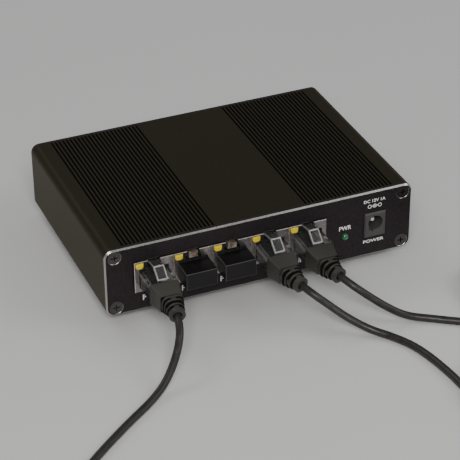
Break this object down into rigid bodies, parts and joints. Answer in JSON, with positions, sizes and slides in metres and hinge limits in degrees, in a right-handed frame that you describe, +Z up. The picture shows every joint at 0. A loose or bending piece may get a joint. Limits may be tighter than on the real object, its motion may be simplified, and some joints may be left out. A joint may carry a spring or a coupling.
{
  "type": "network appliance",
  "caption": "Flat black aluminium network box with a grooved top; shielded network jacks in a row carry patch leads and blanking caps beside a light and a round power jack.",
  "frame": {"origin": "centre of the box round the appliance and its blanking caps, at the underside of the feet", "axes": "+X along the width to the right seen from the front, +Y to the rear, +Z up"},
  "size_m": [0.2488, 0.2315, 0.0336],
  "materials": {
    "shell_black": "satin black anodised",
    "panel_black": "fine matt black anodised, bright cut edge",
    "screw_black": "black oxide",
    "foot_rubber": "matt",
    "board_green": "solder resist",
    "shield_metal": "nickel plated sheet",
    "insert_black": "matt",
    "contact_gold": "gold plated",
    "light_yellow": "diffused, unlit",
    "light_green": "diffused, unlit",
    "power_jack_grey": "moulded",
    "pin_metal": "polished",
    "spring_brass": "bare",
    "chip_black": "moulded",
    "can_aluminium": "bare can",
    "inductor_grey": "ferrite",
    "cap_black": "matt",
    "clear_plastic": "clear moulding",
    "boot_black": "soft matt",
    "cord_black": "smooth satin jacket"
  },
  "bodies": {
    "appliance": {"body_shell": "shell_black", "front_panel": "panel_black", "rear_panel": "panel_black", "panel_screws": "screw_black", "rubber_feet": "foot_rubber", "circuit_board": "board_green", "jack_contacts": "contact_gold", "port_leds": "light_yellow", "power_led": "light_green", "dc_jack_housing": "power_jack_grey", "dc_jack_pin": "pin_metal", "dc_jack_spring": "spring_brass", "processor": "chip_black", "memory_chips": "chip_black", "magnetics": "chip_black", "capacitors": "can_aluminium", "inductors": "inductor_grey", "jack_shield_1": "shield_metal", "jack_insert_1": "insert_black", "jack_shield_2": "shield_metal", "jack_insert_2": "insert_black", "jack_shield_3": "shield_metal", "jack_insert_3": "insert_black", "jack_shield_4": "shield_metal", "jack_insert_4": "insert_black", "jack_shield_5": "shield_metal", "jack_insert_5": "insert_black"},
    "lead_1": {"plug_1": "clear_plastic", "plug_contacts_1": "contact_gold", "boot_1": "boot_black", "cord_1": "cord_black", "cord_coil_1": "cord_black", "far_plug_1": "clear_plastic", "far_contacts_1": "contact_gold", "far_boot_1": "boot_black"},
    "latch_1_tab": {"latch_1": "clear_plastic"},
    "lead_4": {"plug_4": "clear_plastic", "plug_contacts_4": "contact_gold", "boot_4": "boot_black", "cord_4": "cord_black", "cord_coil_4": "cord_black", "far_plug_4": "clear_plastic", "far_contacts_4": "contact_gold", "far_boot_4": "boot_black"},
    "latch_4_tab": {"latch_4": "clear_plastic"},
    "lead_5": {"plug_5": "clear_plastic", "plug_contacts_5": "contact_gold", "boot_5": "boot_black", "cord_5": "cord_black", "cord_coil_5": "cord_black", "far_plug_5": "clear_plastic", "far_contacts_5": "contact_gold", "far_boot_5": "boot_black"},
    "latch_5_tab": {"latch_5": "clear_plastic"},
    "blank_2": {"blank_cap_2": "cap_black", "blank_plug_2": "clear_plastic"},
    "blank_2_tab": {"blank_latch_2": "clear_plastic"},
    "blank_3": {"blank_cap_3": "cap_black", "blank_plug_3": "clear_plastic"},
    "blank_3_tab": {"blank_latch_3": "clear_plastic"}
  },
  "joints": [
    {"name": "lead_1_pull", "type": "slide", "parent": "appliance", "child": "lead_1", "axis": [0, -1, 0], "range_m": [0, 0.013]},
    {"name": "latch_1_press", "type": "hinge", "parent": "lead_1", "child": "latch_1_tab", "pos_m": [-0.045, -0.03, 0.02245], "axis": [1, 0, 0], "range_deg": [0, 5], "stiffness_Nm_per_rad": 0.2},
    {"name": "lead_4_pull", "type": "slide", "parent": "appliance", "child": "lead_4", "axis": [0, -1, 0], "range_m": [0, 0.013]},
    {"name": "latch_4_press", "type": "hinge", "parent": "lead_4", "child": "latch_4_tab", "pos_m": [0.003, -0.03, 0.02245], "axis": [1, 0, 0], "range_deg": [0, 5], "stiffness_Nm_per_rad": 0.2},
    {"name": "lead_5_pull", "type": "slide", "parent": "appliance", "child": "lead_5", "axis": [0, -1, 0], "range_m": [0, 0.013]},
    {"name": "latch_5_press", "type": "hinge", "parent": "lead_5", "child": "latch_5_tab", "pos_m": [0.019, -0.03, 0.02245], "axis": [1, 0, 0], "range_deg": [0, 5], "stiffness_Nm_per_rad": 0.2},
    {"name": "blank_2_pull", "type": "slide", "parent": "appliance", "child": "blank_2", "axis": [0, -1, 0], "range_m": [0, 0.013]},
    {"name": "blank_2_press", "type": "hinge", "parent": "blank_2", "child": "blank_2_tab", "pos_m": [-0.029, -0.03, 0.02245], "axis": [1, 0, 0], "range_deg": [0, 5], "stiffness_Nm_per_rad": 0.2},
    {"name": "blank_3_pull", "type": "slide", "parent": "appliance", "child": "blank_3", "axis": [0, -1, 0], "range_m": [0, 0.013]},
    {"name": "blank_3_press", "type": "hinge", "parent": "blank_3", "child": "blank_3_tab", "pos_m": [-0.013, -0.03, 0.02245], "axis": [1, 0, 0], "range_deg": [0, 5], "stiffness_Nm_per_rad": 0.2}
  ]
}
